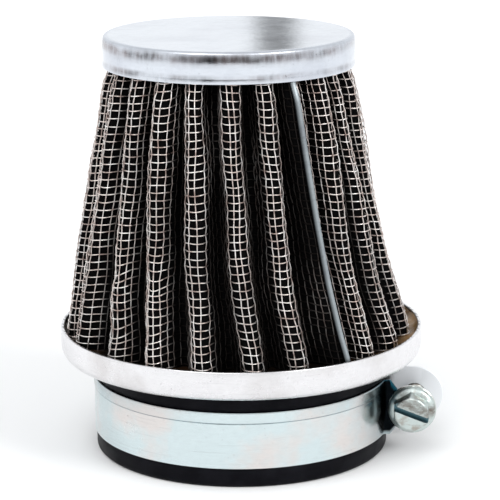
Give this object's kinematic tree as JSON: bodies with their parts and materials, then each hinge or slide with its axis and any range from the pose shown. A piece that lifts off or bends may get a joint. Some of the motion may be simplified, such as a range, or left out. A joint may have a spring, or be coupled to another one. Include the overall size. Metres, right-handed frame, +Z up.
{
  "type": "clamp-on air filter",
  "caption": "Conical engine air filter: pleated wire cloth between a pressed cap and a base pan, on a rubber neck with a screw clamp band.",
  "frame": {"origin": "centre of the rubber neck's open bottom face, on the neck bore's axis", "axes": "+Z up along the neck bore's axis towards the cap, +X towards the clamp's screw, -Y towards the screw's head"},
  "size_m": [0.0894, 0.084, 0.0968],
  "materials": {
    "plated_steel": "bright plated, fine wear",
    "pan_steel": "satin plated",
    "wire_cloth": "drawn wire, slightly warm",
    "strip_metal": "thin sheet, satin",
    "media": "matt black cloth",
    "adhesive": "amber cast adhesive",
    "rubber": "smooth black rubber",
    "zinc_steel": "zinc plated strip",
    "zinc_fixing": "zinc plated, slightly tarnished"
  },
  "bodies": {
    "filter": {"top_cap": "plated_steel", "top_potting": "adhesive", "outer_mesh": "wire_cloth", "filter_media": "media", "inner_mesh": "wire_cloth", "seam_strip": "strip_metal", "base_pan": "pan_steel", "base_potting": "adhesive", "retaining_ring": "strip_metal", "rubber_neck": "rubber"},
    "clamp_front": {"clamp_band_front": "zinc_steel", "screw_washer": "zinc_fixing"},
    "clamp_rear": {"clamp_band_rear": "zinc_steel", "clamp_nut": "zinc_fixing"},
    "screw": {"clamp_screw": "zinc_fixing"}
  },
  "joints": [
    {"name": "clamp_turn", "type": "hinge", "parent": "filter", "child": "clamp_front", "pos_m": [0, 0, 0.01098], "axis": [0, 0, 1], "continuous": true},
    {"name": "screw_turn", "type": "hinge", "parent": "clamp_front", "child": "screw", "pos_m": [0.04011, -0.00564, 0.01098], "axis": [-0.1392, -0.9903, 0], "range_deg": [0, 1800]},
    {"name": "band_open", "type": "hinge", "parent": "clamp_front", "child": "clamp_rear", "pos_m": [-0.03232, 0.01262, 0.01098], "axis": [0, 0, 1], "range_deg": [0, 3.09]}
  ],
  "couplings": [
    {"joint": "band_open", "follows": "screw_turn", "ratio": 0.0017144}
  ]
}
